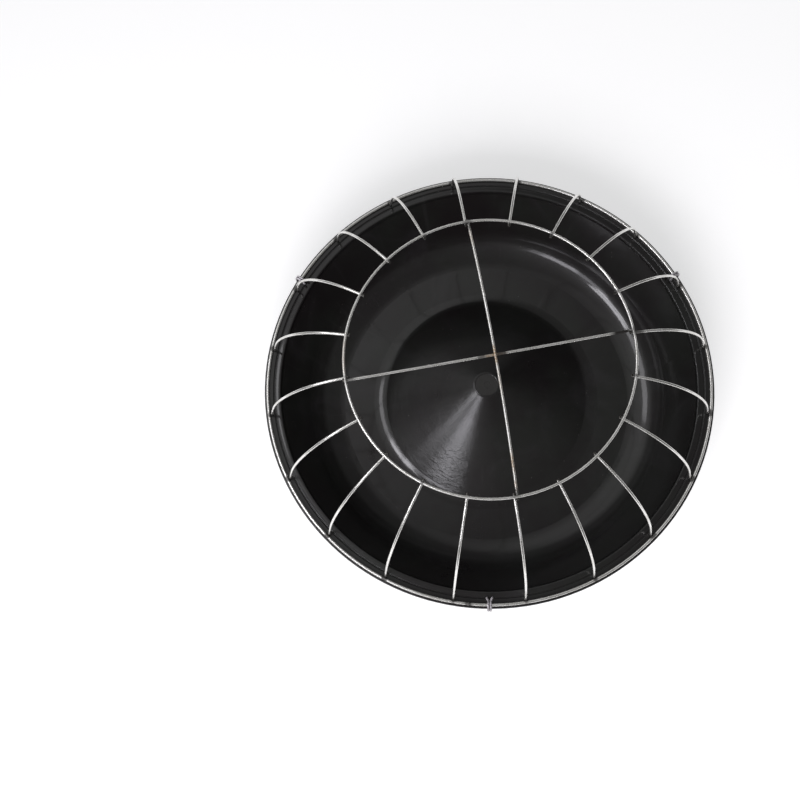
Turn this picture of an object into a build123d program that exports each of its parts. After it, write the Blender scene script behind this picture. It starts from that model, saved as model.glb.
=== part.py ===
from build123d import *
import os
from math import acos, atan2, cos, degrees, pi, radians, sin, tan

# Poultry feed pan of moulded black plastic with a domed, welded wire guard tied to its rim.
# Millimetres. +Z is up, the origin is the centre of the pan's flat base, and the two cross wires of the
# guard lie along X and Y.

# Pan: overall sizes
pan_diameter = 450.0
pan_height = 70.0
skin = 2.6

# Pan: rim, from the mouth outwards
rim_width = 16.0
land_width = 5.2
land_drop = 0.7
groove_width = 1.9
groove_depth = 0.9
groove_round = 0.4
flange_thickness = 3.0
flange_root_round = 2.0
lip_height = 6.0
lip_thickness = 2.2
lip_root_round = 1.0
edge_round = 0.6

# Pan: wall, corner, floor and centre cone
wall_run = 35.0
corner_round = 40.0
channel_width = 62.5
cone_foot_round = 28.0
cone_top_height = 57.0
cone_top_radius = 13.4
cone_top_round = 1.2
gate_disc_radius = 12.0
gate_disc_depth = 0.6
gate_disc_round = 0.3
gate_ring_radius = 3.6
gate_ring_width = 1.0
gate_ring_height = 0.35
gate_ring_round = 0.15

# Guard: wires and their places
rim_wire = 2.8
guard_wire = 2.5
tie_wire = 2.2
rim_ring_inset = 3.6
guard_reach = 86.2
guard_rise = 85.8
spoke_count = 20
leg_lean = 14.5
run_slope = 8.1
knee_round = 84.5
knee_share = 0.98
spoke_overhang = 3.5

# Guard: cross wires inside the top ring
cross_end_past_ring = 1.5
cross_side_gap = 0.06
upper_wire_bow = 3.2

# Guard: butt weld that closes the rim ring
butt_weld_angle = 255.8
butt_weld_radius = 1.75
butt_weld_gap = 0.02

# Ties
tie_angles = (21.0, 141.0, 261.0)
tie_bend = 1.5
tie_shoulder_bend = 3.2
tie_tip_length = 4.4
tie_tip_spread = 1.7
tie_tip_lift = 0.9
tie_hook_rise = 1.8
tie_climb_inside = 0.7
tie_climb_outside = 0.5

# Clearances
weld_gap = 0.04
foot_gap = 0.1
tie_gap = 0.12
hook_gap = 0.3
strand_gap = 0.1

# Derived sizes
pan_radius = pan_diameter / 2
mouth_radius = pan_radius - rim_width
land_radius = mouth_radius + land_width
band_radius = land_radius + groove_width
floor_radius = mouth_radius - wall_run
cone_foot_radius = floor_radius - channel_width
rim_ring_radius = pan_radius - rim_ring_inset
rim_ring_z = pan_height + rim_wire / 2
top_ring_radius = rim_ring_radius - guard_reach
top_ring_z = rim_ring_z + guard_rise
spoke_step = 360.0 / spoke_count
cross_side_step = guard_wire + cross_side_gap


def corner_arc(before, corner, after, radius):
    """Tangent points and middle of the arc that rounds one corner of a path."""
    a = (before - corner).normalized()
    b = (after - corner).normalized()
    half = acos(max(-1.0, min(1.0, a.dot(b)))) / 2
    reach = radius / tan(half)
    middle = corner + (a + b).normalized() * (radius / sin(half) - radius)
    return corner + a * reach, middle, corner + b * reach


def rounded_path(points, rounds, closed=False):
    """Edges of a path of straight lines whose corners are rounded by arcs."""
    pts = [Vector(*p) for p in points]
    count = len(pts)
    edges = []
    starts = [p for p in pts]
    ends = [p for p in pts]
    arcs = {}
    for i in range(count):
        inner = closed or 0 < i < count - 1
        if not inner or rounds[i] <= 0:
            continue
        first, middle, last = corner_arc(pts[i - 1], pts[i], pts[(i + 1) % count], rounds[i])
        ends[i] = first
        starts[i] = last
        arcs[i] = (first, middle, last)
    spans = count if closed else count - 1
    for i in range(spans):
        j = (i + 1) % count
        if (ends[j] - starts[i]).length > 1e-4:
            edges.append(Edge.make_line(starts[i], ends[j]))
        if j in arcs:
            edges.append(Edge.make_three_point_arc(*arcs[j]))
    return edges


def wire_along(edges, diameter):
    """A round wire along a smooth path: a rod for each straight line and a bent rod for each arc."""
    rods = []
    for edge in edges:
        start = edge @ 0
        heading = edge % 0
        section = Plane(origin=start, z_dir=heading) * Circle(diameter / 2)
        if edge.geom_type == GeomType.LINE:
            rods.append(extrude(section, amount=edge.length))
        elif edge.geom_type == GeomType.CIRCLE:
            centre = edge.arc_center
            axis = Axis(centre, (start - centre).cross(heading))
            rods.append(revolve(section, axis=axis, revolution_arc=degrees(edge.length / edge.radius)))
        else:
            rods.append(sweep(section, path=edge))
    return rods[0] + rods[1:]


def ring(radius, diameter):
    """A closed ring of round wire about the Z axis."""
    return Torus(radius, diameter / 2)


def wall_lean():
    """Angle of the pan's wall from the vertical, in radians."""
    rise = pan_height - land_drop - skin
    return atan2(mouth_radius - floor_radius, rise)


def cone_lean():
    """Angle of the cone's side above the floor, in radians."""
    return atan2(cone_top_height - skin, cone_foot_radius - cone_top_radius)


def make_pan():
    """The basin with its centre cone, turned in one piece about the Z axis."""
    lean = wall_lean()
    slope = cone_lean()
    under_flange = pan_height - flange_thickness
    inner_rise = under_flange - skin
    wall_out = skin / cos(lean)
    outer_at_flange = floor_radius + inner_rise * tan(lean) + wall_out
    outer_at_base = floor_radius - skin * tan(lean) + wall_out
    cone_side_drop = skin / cos(slope)
    hollow_foot = cone_foot_radius + (skin - cone_side_drop) / tan(slope)
    hollow_top_z = cone_top_height - skin
    hollow_top = cone_foot_radius - (hollow_top_z + cone_side_drop - skin) / tan(slope)
    disc_z = cone_top_height - gate_disc_depth
    profile = [
        (0, disc_z, 0),
        (gate_ring_radius - gate_ring_width, disc_z, 0),
        (gate_ring_radius - gate_ring_width, disc_z + gate_ring_height, gate_ring_round),
        (gate_ring_radius, disc_z + gate_ring_height, gate_ring_round),
        (gate_ring_radius, disc_z, 0),
        (gate_disc_radius - gate_disc_depth, disc_z, 0),
        (gate_disc_radius, cone_top_height, gate_disc_round),
        (cone_top_radius, cone_top_height, cone_top_round),
        (cone_foot_radius, skin, cone_foot_round),
        (floor_radius, skin, corner_round),
        (mouth_radius, pan_height - land_drop, edge_round),
        (land_radius, pan_height, edge_round),
        (land_radius + groove_width / 2, pan_height - groove_depth, groove_round),
        (band_radius, pan_height, edge_round),
        (pan_radius, pan_height, 2 * edge_round),
        (pan_radius, pan_height - lip_height, edge_round),
        (pan_radius - lip_thickness, pan_height - lip_height, edge_round),
        (pan_radius - lip_thickness, under_flange, lip_root_round),
        (outer_at_flange, under_flange, flange_root_round),
        (outer_at_base, 0, corner_round + skin),
        (hollow_foot, 0, cone_foot_round - skin),
        (hollow_top, hollow_top_z, cone_top_round),
        (0, hollow_top_z, 0),
    ]
    points = [(r, 0, z) for r, z, _ in profile]
    rounds = [rounding for _, _, rounding in profile]
    outline = rounded_path(points, rounds, closed=True)
    face = Face(Wire(outline))
    return revolve(face, axis=Axis.Z, revolution_arc=360)


def make_rim_ring():
    """The ring that rests on the rim, closed by a butt weld that swells it a little."""
    turn = radians(butt_weld_angle)
    weld_z = pan_height + butt_weld_radius + butt_weld_gap
    weld = Pos(rim_ring_radius * cos(turn), rim_ring_radius * sin(turn), weld_z) * Sphere(butt_weld_radius)
    return Pos(0, 0, rim_ring_z) * ring(rim_ring_radius, rim_wire) + weld


def make_top_ring():
    """The small ring at the top of the guard."""
    return Pos(0, 0, top_ring_z) * ring(top_ring_radius, guard_wire)


def spoke_path():
    """Path of one spoke in the XZ plane: leaning leg, wide knee and gently sloping run."""
    lean = radians(leg_lean)
    slope = radians(run_slope)
    beside = rim_wire / 2 + guard_wire / 2 + weld_gap
    below = guard_wire + weld_gap
    leg_x = rim_ring_radius - beside * cos(lean)
    leg_z = rim_ring_z - beside * sin(lean)
    run_x = top_ring_radius - below * sin(slope)
    run_z = top_ring_z - below * cos(slope)
    foot_z = pan_height + foot_gap + guard_wire / 2 * sin(lean)
    foot_x = leg_x - (foot_z - leg_z) * tan(lean)
    leg_at_run = leg_x - (run_z - leg_z) * tan(lean)
    knee_drop = (leg_at_run - run_x) * tan(slope) / (1 - tan(lean) * tan(slope))
    knee_z = run_z - knee_drop
    knee_x = leg_at_run + knee_drop * tan(lean)
    tip_x = top_ring_radius - spoke_overhang
    tip_z = run_z + (run_x - tip_x) * tan(slope)
    leg = (knee_z - foot_z) / cos(lean)
    run = (knee_x - tip_x) / cos(slope)
    widest_knee = knee_share * min(leg, run) / tan((pi / 2 - lean - slope) / 2)
    points = [(foot_x, 0, foot_z), (knee_x, 0, knee_z), (tip_x, 0, tip_z)]
    return rounded_path(points, [0, min(knee_round, widest_knee), 0])


def make_spoke(angle):
    """One spoke, welded to the inside of the rim ring and to the underside of the top ring."""
    return Rot(0, 0, angle) * wire_along(spoke_path(), guard_wire)


def cross_level():
    """Height of the cross wires' ends, under the top ring."""
    return top_ring_z - guard_wire - weld_gap


def cross_reach():
    """Distance from the middle to a cross wire's end."""
    return top_ring_radius + cross_end_past_ring


def make_upper_cross_wire():
    """The cross wire along Y: it passes over the other one and bows a little to one side."""
    z = cross_level()
    over = (guard_wire + 2 * weld_gap) / 2
    path = Edge.make_three_point_arc(
        Vector(cross_side_step, -cross_reach(), z),
        Vector(cross_side_step + upper_wire_bow, 0, z + over),
        Vector(cross_side_step, cross_reach(), z),
    )
    return wire_along([path], guard_wire)


def make_lower_cross_wire():
    """The cross wire along X: it dips under the other one, its ends on opposite sides of the spokes."""
    z = cross_level()
    under = (guard_wire + 2 * weld_gap) / 2
    path = Edge.make_three_point_arc(
        Vector(-cross_reach(), -cross_side_step, z),
        Vector(0, 0, z - under),
        Vector(cross_reach(), cross_side_step, z),
    )
    return wire_along([path], guard_wire)


def tie_strand_points():
    """Corners of one strand of a tie, from its free end to the closed end hooked behind the lip."""
    radius = tie_wire / 2
    side = radius + strand_gap / 2
    over_z = pan_height + rim_wire + radius + tie_gap
    outside_x = pan_radius + radius + tie_gap
    under_z = pan_height - lip_height - radius - hook_gap
    behind_x = pan_radius - lip_thickness - radius - hook_gap
    closed_z = under_z + tie_hook_rise
    start_x = rim_ring_radius - rim_wire / 2 - radius - tie_gap
    start_z = pan_height + rim_wire / 2 + radius
    tip = (start_x - tie_tip_length, side + tie_tip_spread, start_z + tie_tip_lift)
    return [
        tip,
        (start_x - tie_climb_inside, side, start_z),
        (start_x + tie_climb_outside, side, over_z),
        (outside_x, side, over_z),
        (outside_x, side, under_z),
        (behind_x, side, under_z),
        (behind_x, side, closed_z),
    ]


def make_tie(angle):
    """A doubled tie wire: a hairpin hooked behind the lip, over the rim ring, with two splayed ends."""
    right = tie_strand_points()
    left = [(x, -y, z) for x, y, z in reversed(right)]
    bends = [0, tie_bend, tie_bend, tie_shoulder_bend, tie_bend, tie_bend, 0]
    first = rounded_path(right, bends)
    second = rounded_path(left, list(reversed(bends)))
    top = right[-1]
    closed_end = Edge.make_three_point_arc(
        Vector(*top),
        Vector(top[0], 0, top[2] + top[1]),
        Vector(top[0], -top[1], top[2]),
    )
    return Rot(0, 0, angle) * wire_along(first + [closed_end] + second, tie_wire)


def main():
    os.makedirs("parts", exist_ok=True)
    pieces = {
        "pan": make_pan(),
        "rim_ring": make_rim_ring(),
        "top_ring": make_top_ring(),
        "cross_wire_upper": make_upper_cross_wire(),
        "cross_wire_lower": make_lower_cross_wire(),
    }
    for number in range(spoke_count):
        pieces[f"spoke_{number + 1:02d}"] = make_spoke(number * spoke_step)
    for place, angle in zip(("right", "left", "front"), tie_angles):
        pieces[f"rim_tie_{place}"] = make_tie(angle)
    for name, piece in pieces.items():
        export_step(piece, os.path.join("parts", name + ".step"))


main()
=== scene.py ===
import math

import bmesh
import bpy
from mathutils import Euler, Matrix, Vector, noise


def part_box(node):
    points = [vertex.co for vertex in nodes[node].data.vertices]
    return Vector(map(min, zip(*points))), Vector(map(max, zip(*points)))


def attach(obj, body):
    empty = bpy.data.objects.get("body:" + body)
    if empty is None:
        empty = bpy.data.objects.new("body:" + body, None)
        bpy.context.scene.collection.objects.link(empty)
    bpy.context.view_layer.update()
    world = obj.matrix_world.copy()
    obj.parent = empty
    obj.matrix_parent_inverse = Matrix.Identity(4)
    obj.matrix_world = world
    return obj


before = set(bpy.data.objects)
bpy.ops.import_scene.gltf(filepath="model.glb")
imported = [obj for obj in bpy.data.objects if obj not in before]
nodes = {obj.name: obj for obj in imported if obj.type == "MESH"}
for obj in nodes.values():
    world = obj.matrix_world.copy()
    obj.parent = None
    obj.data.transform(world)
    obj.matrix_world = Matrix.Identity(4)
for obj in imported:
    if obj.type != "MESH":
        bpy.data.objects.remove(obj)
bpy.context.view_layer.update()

MM = 0.001

# Places taken from the frame
rim_low, rim_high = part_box("rim_ring")
top_low, top_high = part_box("top_ring")
RIM_WIRE = 2.8 * MM
GUARD_WIRE = top_high[2] - top_low[2]
RIM_RADIUS = (rim_high[0] - rim_low[0] - RIM_WIRE) / 2
TOP_RADIUS = (top_high[0] - top_low[0] - GUARD_WIRE) / 2
RIM_Z = rim_low[2] + RIM_WIRE / 2
TOP_Z = (top_high[2] + top_low[2]) / 2
SPOKES = sorted(name for name in nodes if name.startswith("spoke_"))
CROSS_WIRES = ("cross_wire_upper", "cross_wire_lower")
STEP = 2 * math.pi / len(SPOKES)

# Camera of the photograph
CAMERA_PLACE = Vector((-74.5, -293.9, 1093.9)) * MM
CAMERA_TILT = math.radians(15.42)
CAMERA_YAW = math.radians(3.28)
CAMERA_HEADING = math.radians(-9.27)
PICTURE_PIXELS = 800
FOCAL_PIXELS = 1059.7
SENSOR_MM = 36.0

# Zones of the pan where a look starts and ends: radii from its axis, and heights for RIM_TOP
GATE_DISC = (10.5 * MM, 12.5 * MM)
GATE_EDGE = (11.4 * MM, 12.8 * MM)
WORN_START = (40.0 * MM, 85.0 * MM)
CONE_END = (100.0 * MM, 118.0 * MM)
CROWN_EDGE = (209.5 * MM, 214.5 * MM)
RIM_TOP = (66.0 * MM, 68.5 * MM)

# Worn strip of the cone: its direction from the axis, and the cosines where it starts and is full
WORN_DIRECTION = (-0.574, -0.819)
WORN_WIDTH = (0.94, 0.995)

# Colours of the plastic
WARM_BLACK = (0.0088, 0.0072, 0.0076, 1)
GREENISH_BLACK = (0.0112, 0.0118, 0.0104, 1)
FILM_GREY = (0.034, 0.031, 0.035, 1)
SCUFF_GREY = (0.045, 0.044, 0.045, 1)
GATE_GREY = (0.045, 0.043, 0.04, 1)
DUST_GREY = (0.17, 0.165, 0.155, 1)

# Colours of the metal
ZINC = ((0.80, 0.79, 0.77, 1), (0.66, 0.65, 0.62, 1))
DULL_ZINC = ((0.55, 0.53, 0.55, 1), (0.40, 0.38, 0.40, 1))
RUST_BROWN = (0.36, 0.24, 0.12, 1)
# Black of the heat marks, also used as painted shade round the welds
HEAT_MARK_AND_SHADE_BLACK = (0.045, 0.042, 0.04, 1)
WELD_SCALE = (0.035, 0.033, 0.031, 1)
WELD_BARE = (0.20, 0.19, 0.17, 1)

# Painted shade on the wire round a weld, where a spoke passes under a ring: the distances where it
# is full and where it ends
RIM_PAINTED_SHADE = (2.4 * MM, 4.6 * MM)
TOP_PAINTED_SHADE = (1.4 * MM, 2.8 * MM)

# Heat marks on the wires: centre and reach in millimetres, and strength
RUST = (
    ((5, -1, 157), 15, 0.85),
    ((4, -26, 156), 18, 0.3),
    ((3, -104, 156), 16, 0.7),
    ((2, -124, 156), 9, 0.5),
    ((-134, 22, 157), 26, 0.35),
    ((6, 118, 156), 12, 0.4),
)
BURNS = (
    ((124, 2, 155), 13, 1.0),
    ((138, 1, 154), 9, 0.8),
    ((12, 0, 155), 7, 0.85),
    ((-7, -1, 155), 6, 0.7),
    ((2, 132, 156), 7, 0.7),
    ((2, -132, 156), 7, 0.75),
    ((-132, -2, 156), 7, 0.6),
    ((-54, -215, 71), 6, 0.85),
)

# Lumps of weld metal: half lengths along the ring, outwards and up, in millimetres
RIM_WELD = (2.1, 1.0, 1.3)
TOP_WELD = (1.5, 1.0, 0.8)
CROSS_WELD = (2.2, 1.4, 0.9)

# Brightness of the room that reflections see
CEILING_LEFT = 0.22
CEILING_RIGHT = 0.05
SKY_LEFT = 0.6
SKY_RIGHT = 0.26
BACK_WALL = 0.24
BACKDROP = 0.7
SKYLIGHT = 0.95
SKYLIGHT_DIRECTION = (-0.35, 0.5, 0.79)

# Even light of the world on surfaces, and the white of the floor and the room
SKY_LIGHT = 0.25
SKY_COLOUR = (0.96, 0.97, 1.0, 1)
WHITE = (0.8, 0.8, 0.8, 1)
FLOOR_GLOW = 0.55
FLOOR_HALF = 4.0
LAMP_TARGET = Vector((0, 0, 30)) * MM


def link(obj):
    bpy.context.scene.collection.objects.link(obj)
    return obj


class NodeTree:
    """The cleared node tree of a material or world, with short calls for the nodes used here."""

    def __init__(self, owner, output_kind):
        owner.use_nodes = True
        self.tree = owner.node_tree
        self.tree.nodes.clear()
        self.output = self.node(output_kind)

    def node(self, kind, **settings):
        made = self.tree.nodes.new(kind)
        for key, value in settings.items():
            setattr(made, key, value)
        return made

    def feed(self, socket, value):
        """Links an output to a socket, or sets the socket to a number, colour or vector."""
        if hasattr(value, "is_output"):
            self.tree.links.new(value, socket)
        else:
            socket.default_value = value

    def feed_all(self, made, *values):
        for socket, value in zip(made.inputs, values):
            self.feed(socket, value)
        return made

    def math(self, operation, first, second=0.0, clamp=False):
        made = self.node("ShaderNodeMath", operation=operation, use_clamp=clamp)
        return self.feed_all(made, first, second).outputs[0]

    def times(self, first, second):
        return self.math("MULTIPLY", first, second)

    def total(self, *values):
        result = values[0]
        for value in values[1:]:
            result = self.math("ADD", result, value)
        return result

    def largest(self, *values):
        result = values[0]
        for value in values[1:]:
            result = self.math("MAXIMUM", result, value)
        return result

    def length(self, *parts):
        """The length of a vector from its parts."""
        squares = [self.times(part, part) for part in parts]
        return self.math("SQRT", self.total(*squares))

    def coordinate(self, kind):
        return self.node("ShaderNodeTexCoord").outputs[kind]

    def split(self, vector):
        return self.feed_all(self.node("ShaderNodeSeparateXYZ"), vector).outputs

    def join(self, x, y, z):
        return self.feed_all(self.node("ShaderNodeCombineXYZ"), x, y, z).outputs[0]

    def distance(self, vector, place):
        made = self.node("ShaderNodeVectorMath", operation="DISTANCE")
        return self.feed_all(made, vector, place).outputs["Value"]

    def noise(self, vector, scale, detail=3.0, roughness=0.5, distortion=0.0):
        made = self.node("ShaderNodeTexNoise")
        self.feed(made.inputs["Vector"], vector)
        made.inputs["Scale"].default_value = scale
        made.inputs["Detail"].default_value = detail
        made.inputs["Roughness"].default_value = roughness
        made.inputs["Distortion"].default_value = distortion
        return made.outputs["Fac"]

    def cells(self, vector, scale):
        made = self.node("ShaderNodeTexVoronoi")
        self.feed(made.inputs["Vector"], vector)
        made.inputs["Scale"].default_value = scale
        return made.outputs["Distance"]

    def ramp(self, value, low, high, start=0.0, end=1.0):
        """value from low to high becomes start to end, smoothly, and stays there outside."""
        made = self.node("ShaderNodeMapRange", interpolation_type="SMOOTHSTEP")
        return self.feed_all(made, value, low, high, start, end).outputs["Result"]

    def blend(self, factor, first, second):
        made = self.node("ShaderNodeMix", data_type="RGBA")
        self.feed(made.inputs[0], factor)
        self.feed(made.inputs[6], first)
        self.feed(made.inputs[7], second)
        return made.outputs[2]

    def bump(self, height, depth, strength=1.0, under=None):
        """Relief of a depth in metres, laid over the relief under it."""
        made = self.node("ShaderNodeBump")
        made.inputs["Strength"].default_value = strength
        made.inputs["Distance"].default_value = depth
        self.feed(made.inputs["Height"], height)
        if under is not None:
            self.feed(made.inputs["Normal"], under)
        return made.outputs[0]

    def surface(self, shader):
        self.feed(self.output.inputs["Surface"], shader)

    def principled(self, **sockets):
        made = self.node("ShaderNodeBsdfPrincipled")
        for key, value in sockets.items():
            self.feed(made.inputs[key.replace("_", " ")], value)
        self.surface(made.outputs[0])

    def background(self, colour, strength):
        return self.feed_all(self.node("ShaderNodeBackground"), colour, strength).outputs[0]

    def mix_shader(self, factor, first, second):
        return self.feed_all(self.node("ShaderNodeMixShader"), factor, first, second).outputs[0]


def new_material(name):
    material = bpy.data.materials.new(name)
    return material, NodeTree(material, "ShaderNodeOutputMaterial")


def stretched_noise(s, outwards, radius, round_scale, out_scale, **settings):
    """Noise with one scale round the pan's axis and another along the radius."""
    x, y = (s.times(part, round_scale) for part in outwards)
    return s.noise(s.join(x, y, s.times(radius, out_scale)), 1.0, **settings)


def plastic_relief(s, place, z, radius, outwards):
    """The plastic's skin: grain and waves, wrinkles on the cone, and the gate's and rim's edges."""
    on_cone = s.ramp(radius, *CONE_END, 1.0, 0.0)
    grain = s.noise(place, 900.0, detail=2.0)
    fine = s.noise(place, 1400.0, detail=1.0)
    wave = s.noise(place, 26.0, detail=2.0, distortion=0.6)
    wrinkle = stretched_noise(s, outwards, radius, 4.5, 190.0, roughness=0.6, distortion=0.7)
    crackle = stretched_noise(s, outwards, radius, 7.0, 230.0, detail=2.0, distortion=0.8)
    facing = s.total(*(s.times(part, aim) for part, aim in zip(outwards, WORN_DIRECTION)))
    worn = s.times(s.times(s.ramp(facing, *WORN_WIDTH), s.ramp(radius, *WORN_START)), on_cone)
    layers = (
        (grain, 0.02, 0.3),
        (s.times(fine, on_cone), 0.05, 1.0),
        (wave, 0.4, 0.5),
        (s.times(wrinkle, on_cone), 0.09, 1.0),
        (s.times(s.ramp(crackle, 0.5, 0.64), worn), 0.05, 1.0),
        (s.ramp(radius, *GATE_EDGE, 1.0, 0.0), 0.5, 1.0),
        (s.times(s.ramp(radius, *CROWN_EDGE, 1.0, 0.0), s.ramp(z, *RIM_TOP)), 1.1, 1.0),
    )
    relief = None
    for height, depth, strength in layers:
        relief = s.bump(height, depth * MM, strength, under=relief)
    return relief


def plastic_material():
    """Glossy black recycled plastic with a dull film, scuffs, a paler gate disc and dust."""
    material, s = new_material("black_plastic_look")
    place = s.coordinate("Object")
    x, y, z = s.split(place)
    radius = s.length(x, y)
    safe = s.math("MAXIMUM", radius, MM)
    outwards = (s.math("DIVIDE", x, safe), s.math("DIVIDE", y, safe))
    cloud = s.noise(place, 11.0, detail=4.0, roughness=0.6)
    film = s.noise(place, 15.0, detail=4.0, roughness=0.6, distortion=0.9)
    streak = stretched_noise(
        s, outwards, radius, 16.0, 14.0, detail=4.0, roughness=0.6, distortion=0.3
    )
    scuff = s.ramp(streak, 0.62, 0.74)
    speck = s.ramp(s.cells(place, 150.0), 0.05, 0.09, 1.0, 0.0)
    dust = s.times(speck, s.ramp(s.noise(place, 30.0), 0.56, 0.68))
    tone = s.blend(s.ramp(cloud, 0.35, 0.68), WARM_BLACK, GREENISH_BLACK)
    tone = s.blend(s.times(s.ramp(film, 0.5, 0.72), 0.22), tone, FILM_GREY)
    tone = s.blend(s.times(scuff, 0.12), tone, SCUFF_GREY)
    tone = s.blend(s.ramp(radius, *GATE_DISC, 0.28, 0.0), tone, GATE_GREY)
    tone = s.blend(s.times(dust, 0.45), tone, DUST_GREY)
    gloss = s.total(
        s.ramp(cloud, 0.3, 0.7, 0.27, 0.36), s.times(scuff, 0.06), s.times(dust, 0.3)
    )
    relief = plastic_relief(s, place, z, radius, outwards)
    s.principled(
        Base_Color=tone, Roughness=gloss, IOR=1.25, Normal=relief,
        Coat_Weight=1.0, Coat_Roughness=0.09, Coat_IOR=1.4, Coat_Normal=relief,
    )
    return material


def weld_distance(s, place, ring_radius, ring_z):
    """Distance from a place to the nearest spoke's weld on one of the guard's rings."""
    x, y, z = s.split(place)
    turns = s.math("DIVIDE", s.math("ARCTAN2", y, x), STEP)
    off_turn = s.math("SUBTRACT", turns, s.math("ROUND", turns))
    side = s.times(off_turn, STEP * ring_radius)
    out = s.math("SUBTRACT", s.length(x, y), ring_radius)
    up = s.math("SUBTRACT", z, ring_z)
    return s.length(side, out, up)


def marks(s, place, ragged, spots):
    """How strongly the heat marks of a list cover a place, with ragged edges."""
    covers = []
    for centre, reach, strength in spots:
        near = s.math("ADD", s.distance(place, Vector(centre) * MM), ragged)
        covers.append(s.ramp(near, 0.35 * reach * MM, reach * MM, strength, 0.0))
    return s.largest(*covers)


def galvanised_material(name, zinc, roughness):
    """Galvanised wire: zinc bloom, heat marks and rust, and painted shade that darkens the wire
    round the welds where the spokes pass under the rings.
    """
    material, s = new_material(name)
    place = s.coordinate("Object")
    bloom = s.noise(place, 75.0, roughness=0.55)
    spots = s.noise(place, 700.0, detail=2.0)
    ragged = s.ramp(bloom, 0.3, 0.7, -1.3 * MM, 1.3 * MM)
    rim_weld = weld_distance(s, place, RIM_RADIUS - RIM_WIRE / 2, RIM_Z)
    top_weld = weld_distance(s, place, TOP_RADIUS - 1.0 * MM, TOP_Z - GUARD_WIRE / 2)
    # Painted shade round the welds where the spokes pass under the rings, together with the heat
    # marks
    burnt_and_painted_shade = s.largest(
        s.ramp(s.math("ADD", rim_weld, ragged), *RIM_PAINTED_SHADE, 0.85, 0.0),
        s.ramp(s.math("ADD", top_weld, ragged), *TOP_PAINTED_SHADE, 0.8, 0.0),
        marks(s, place, ragged, BURNS),
    )
    rust = marks(s, place, s.times(ragged, 3.0), RUST)
    rust = s.times(rust, s.ramp(spots, 0.35, 0.6, 0.35, 1.0))
    tone = s.blend(s.ramp(bloom, 0.35, 0.65), *zinc)
    tone = s.blend(rust, tone, RUST_BROWN)
    tone = s.blend(burnt_and_painted_shade, tone, HEAT_MARK_AND_SHADE_BLACK)
    spoilt = s.times(s.largest(burnt_and_painted_shade, rust), 0.3)
    gloss = s.math("ADD", s.ramp(bloom, 0.3, 0.7, *roughness), spoilt)
    relief = s.bump(spots, 0.01 * MM, 0.4)
    s.principled(Base_Color=tone, Roughness=gloss, Metallic=0.92, Normal=relief)
    return material


def weld_material():
    """Weld metal: dark scale with a few bare grey spots."""
    material, s = new_material("weld_look")
    crust = s.noise(s.coordinate("Object"), 900.0, detail=4.0, roughness=0.65)
    tone = s.blend(s.ramp(crust, 0.5, 0.7), WELD_SCALE, WELD_BARE)
    gloss = s.ramp(crust, 0.3, 0.7, 0.6, 0.4)
    relief = s.bump(crust, 0.2 * MM, 0.6)
    s.principled(Base_Color=tone, Roughness=gloss, Metallic=0.9, Normal=relief)
    return material


def floor_material():
    """A white floor that keeps a soft shadow."""
    material, s = new_material("white_floor")
    rays = s.node("ShaderNodeLightPath").outputs
    seen = s.math("ADD", rays["Is Camera Ray"], rays["Is Glossy Ray"])
    seen = s.math("ADD", seen, rays["Is Transmission Ray"], clamp=True)
    diffuse = s.node("ShaderNodeBsdfDiffuse")
    diffuse.inputs["Color"].default_value = WHITE
    glow = s.node("ShaderNodeEmission")
    s.feed(glow.inputs["Strength"], s.times(seen, FLOOR_GLOW))
    both = s.feed_all(s.node("ShaderNodeAddShader"), diffuse.outputs[0], glow.outputs[0])
    s.surface(both.outputs[0])
    return material


def make_world():
    """White to the camera, an even sky to rough surfaces, and a room to gloss and glass.

    The room has a ceiling that darkens to the right, a skylight in it, a brighter sky over the
    left side, a back wall and a narrow white backdrop along the horizon.
    """
    world = bpy.data.worlds.new("white_room")
    bpy.context.scene.world = world
    s = NodeTree(world, "ShaderNodeOutputWorld")
    direction = s.coordinate("Generated")
    x, y, z = s.split(direction)
    high = s.ramp(z, 0.38, 0.6)
    room = s.largest(
        s.ramp(s.distance(direction, SKYLIGHT_DIRECTION), 0.33, 0.75, SKYLIGHT, 0.0),
        s.ramp(x, -0.6, 0.4, CEILING_LEFT, CEILING_RIGHT),
        s.times(high, s.ramp(x, -0.55, 0.25, SKY_LEFT, SKY_RIGHT)),
        s.ramp(z, 0.02, 0.17, BACKDROP, 0.0),
        s.ramp(y, 0.55, 0.92, 0.0, BACK_WALL),
    )
    rays = s.node("ShaderNodeLightPath").outputs
    reflects = s.math("MAXIMUM", rays["Is Glossy Ray"], rays["Is Transmission Ray"])
    bounced = s.mix_shader(
        reflects, s.background(SKY_COLOUR, SKY_LIGHT), s.background(WHITE, room)
    )
    s.surface(s.mix_shader(rays["Is Camera Ray"], bounced, s.background(WHITE, 1.0)))


def lamp_place(bearing, height, distance):
    """A place round the pan; the bearing runs anticlockwise from the right of the picture."""
    turn = math.radians(bearing) + CAMERA_HEADING
    rise = math.radians(height)
    flat = distance * math.cos(rise)
    return Vector((flat * math.cos(turn), flat * math.sin(turn), distance * math.sin(rise)))


def make_lamp(name, *, bearing, height, distance, size, power, colour, diffuse=True, glossy=True):
    """An area lamp aimed at the pan: angles in degrees, lengths in metres, power in watts."""
    data = bpy.data.lights.new(name, "AREA")
    data.shape = "RECTANGLE"
    data.size, data.size_y = size
    data.energy = power
    data.color = colour
    lamp = link(bpy.data.objects.new(name, data))
    lamp.location = lamp_place(bearing, height, distance)
    lamp.rotation_euler = (LAMP_TARGET - lamp.location).to_track_quat("-Z", "Y").to_euler()
    lamp.visible_diffuse = diffuse
    lamp.visible_glossy = glossy


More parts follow.
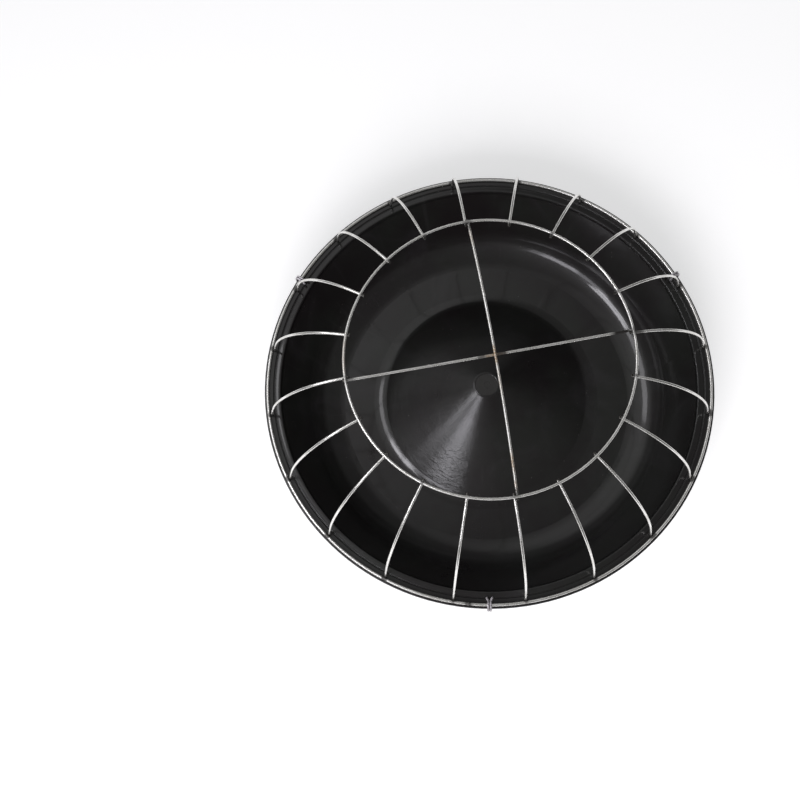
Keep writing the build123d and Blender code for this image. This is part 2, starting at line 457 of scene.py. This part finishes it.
def make_lamps():
    make_lamp(
        "window", bearing=-127, height=44, distance=1.6,
        size=(0.38, 0.3), power=1.5, colour=(0.95, 0.93, 1.0),
    )
    make_lamp(
        "window_haze", bearing=-133, height=44, distance=1.65,
        size=(1.0, 0.28), power=2.5, colour=(0.95, 0.94, 1.0),
    )
    make_lamp(
        "door", bearing=-162, height=50, distance=1.7,
        size=(0.5, 0.36), power=6.6, colour=(0.96, 0.95, 1.0), diffuse=False,
    )
    make_lamp(
        "sky_left", bearing=166, height=50, distance=1.7,
        size=(0.75, 0.42), power=3.3, colour=(0.97, 0.96, 1.0), diffuse=False,
    )
    make_lamp(
        "fill", bearing=-100, height=40, distance=1.8,
        size=(0.9, 0.9), power=22.0, colour=(1.0, 0.98, 1.0), glossy=False,
    )


def make_camera():
    data = bpy.data.cameras.new("photo_camera")
    data.sensor_width = SENSOR_MM
    data.lens = FOCAL_PIXELS / PICTURE_PIXELS * SENSOR_MM
    camera = link(bpy.data.objects.new("photo_camera", data))
    turn = Euler((CAMERA_TILT, CAMERA_YAW, CAMERA_HEADING), "YXZ").to_matrix().to_4x4()
    camera.matrix_world = Matrix.Translation(CAMERA_PLACE) @ turn
    bpy.context.scene.camera = camera


def make_floor():
    data = bpy.data.meshes.new("floor")
    corners = [(x * FLOOR_HALF, y * FLOOR_HALF, 0) for x, y in ((-1, -1), (1, -1), (1, 1), (-1, 1))]
    data.from_pydata(corners, [], [(0, 1, 2, 3)])
    floor = link(bpy.data.objects.new("floor", data))
    data.materials.append(floor_material())


def dress_frame():
    """Gives the CAD nodes their materials."""
    plastic = plastic_material()
    wire = galvanised_material("galvanised_look", ZINC, (0.2, 0.29))
    tie = galvanised_material("tie_wire_look", DULL_ZINC, (0.5, 0.62))
    for name, node in nodes.items():
        node.data.materials.clear()
        if name == "pan":
            node.data.materials.append(plastic)
        elif name.startswith("rim_tie"):
            node.data.materials.append(tie)
        else:
            node.data.materials.append(wire)


def points_of(name):
    """Points of a CAD node's surface in the row frame."""
    return [nodes[name].matrix_world @ vertex.co for vertex in nodes[name].data.vertices]


def nearest_to_ring(points, radius, level):
    """The point that is closest to the centre line of one of the guard's rings."""
    def gap(point):
        return math.hypot(math.hypot(point.x, point.y) - radius, point.z - level)
    return min(points, key=gap)


def cross_wire_ends(name):
    """Where the two ends of a cross wire meet the top ring."""
    points = points_of(name)
    halves = [[point for point in points if (point.x + point.y) * side > 0] for side in (1, -1)]
    return [nearest_to_ring(half, TOP_RADIUS, TOP_Z) for half in halves]


def add_lump(shape, place, half, seed):
    """Adds one uneven lump of weld metal to a shape."""
    turn = Matrix.Rotation(math.atan2(place.y, place.x) + math.pi / 2, 3, "Z")
    shift = Vector((seed * 3.7, seed * 1.3, 0))
    made = bmesh.ops.create_icosphere(shape, subdivisions=3, radius=1.0)
    for vertex in made["verts"]:
        unit = vertex.co.copy()
        swell = 1 + 0.3 * noise.noise(unit * 1.5 + shift) + 0.12 * noise.noise(unit * 4 + shift)
        sized = Vector((unit.x * half[0], unit.y * half[1], unit.z * half[2])) * swell * MM
        vertex.co = place + turn @ sized


def make_welds(name, places, half, material):
    shape = bmesh.new()
    for seed, place in enumerate(places):
        add_lump(shape, place, half, seed)
    mesh = bpy.data.meshes.new(name)
    shape.to_mesh(mesh)
    shape.free()
    mesh.shade_smooth()
    mesh.materials.append(material)
    piece = link(bpy.data.objects.new(name, mesh))
    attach(piece, "root")


def weld_guard():
    """Welds each spoke to both rings and each cross wire to the top ring."""
    metal = weld_material()
    feet = [nearest_to_ring(points_of(name), RIM_RADIUS, RIM_Z) for name in SPOKES]
    tips = [nearest_to_ring(points_of(name), TOP_RADIUS, TOP_Z) for name in SPOKES]
    ends = [end for name in CROSS_WIRES for end in cross_wire_ends(name)]
    make_welds("rim_welds", feet, RIM_WELD, metal)
    make_welds("top_ring_welds", tips, TOP_WELD, metal)
    make_welds("cross_wire_welds", ends, CROSS_WELD, metal)


dress_frame()
weld_guard()
make_floor()
make_world()
make_lamps()
make_camera()
bpy.context.scene.view_settings.view_transform = "Standard"
